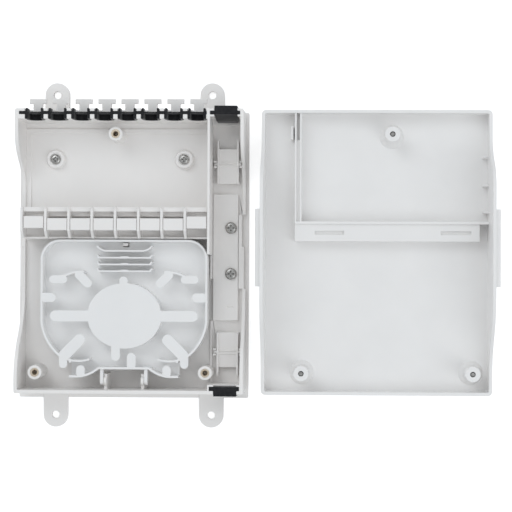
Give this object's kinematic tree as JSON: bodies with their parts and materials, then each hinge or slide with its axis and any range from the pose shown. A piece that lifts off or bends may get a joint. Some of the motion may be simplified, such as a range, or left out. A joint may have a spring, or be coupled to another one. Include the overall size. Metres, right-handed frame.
{
  "type": "fiber termination box",
  "caption": "Wall-mounted fibre termination box, laid open: base with cable ports, adapter rack and hinged splice tray, beside its screw-down cover.",
  "frame": {"origin": "centre of the rectangle of four wall-fixing holes, on the back plane", "axes": "+X towards the opened cover, +Y towards the drop-cable ports, +Z out of the wall"},
  "size_m": [0.3415, 0.2476, 0.0437],
  "materials": {
    "white_plastic": "fine matte moulded",
    "tray_plastic": "satin moulded",
    "black_rubber": "satin moulded",
    "brass_insert": "knurled, machined",
    "screw_steel": "zinc plated"
  },
  "bodies": {
    "base": {"base": "white_plastic", "adapter_rack": "white_plastic", "adapter_clip_1": "white_plastic", "adapter_clip_2": "white_plastic", "adapter_clip_3": "white_plastic", "adapter_clip_4": "white_plastic", "adapter_clip_5": "white_plastic", "adapter_clip_6": "white_plastic", "adapter_clip_7": "white_plastic", "adapter_clip_8": "white_plastic", "seal_strip": "black_rubber", "port_plug_top": "black_rubber", "port_plug_bottom": "black_rubber", "cable_cradle_top": "white_plastic", "cable_cradle_bottom": "white_plastic", "channel_plate": "white_plastic", "channel_screws": "screw_steel", "floor_screws": "screw_steel", "threaded_inserts": "brass_insert"},
    "tray": {"splice_tray": "tray_plastic"},
    "cover": {"cover": "white_plastic"},
    "cover_screw_top": {"cover_screw_top": "screw_steel"},
    "cover_screw_left": {"cover_screw_left": "screw_steel"},
    "cover_screw_right": {"cover_screw_right": "screw_steel"}
  },
  "joints": [
    {"name": "cover_hinge", "type": "hinge", "parent": "base", "child": "cover", "pos_m": [0.087, 0, 0.025], "axis": [0, 1, 0], "range_deg": [-180, 0]},
    {"name": "tray_hinge", "type": "hinge", "parent": "base", "child": "tray", "pos_m": [-0.0042, -0.0895, 0.022], "axis": [1, 0, 0], "range_deg": [0, 90]},
    {"name": "cover_screw_top_slide", "type": "slide", "parent": "cover", "child": "cover_screw_top", "axis": [0, 0, -1], "range_m": [-0.0065, 0]},
    {"name": "cover_screw_left_slide", "type": "slide", "parent": "cover", "child": "cover_screw_left", "axis": [0, 0, -1], "range_m": [-0.0065, 0]},
    {"name": "cover_screw_right_slide", "type": "slide", "parent": "cover", "child": "cover_screw_right", "axis": [0, 0, -1], "range_m": [-0.0065, 0]}
  ]
}
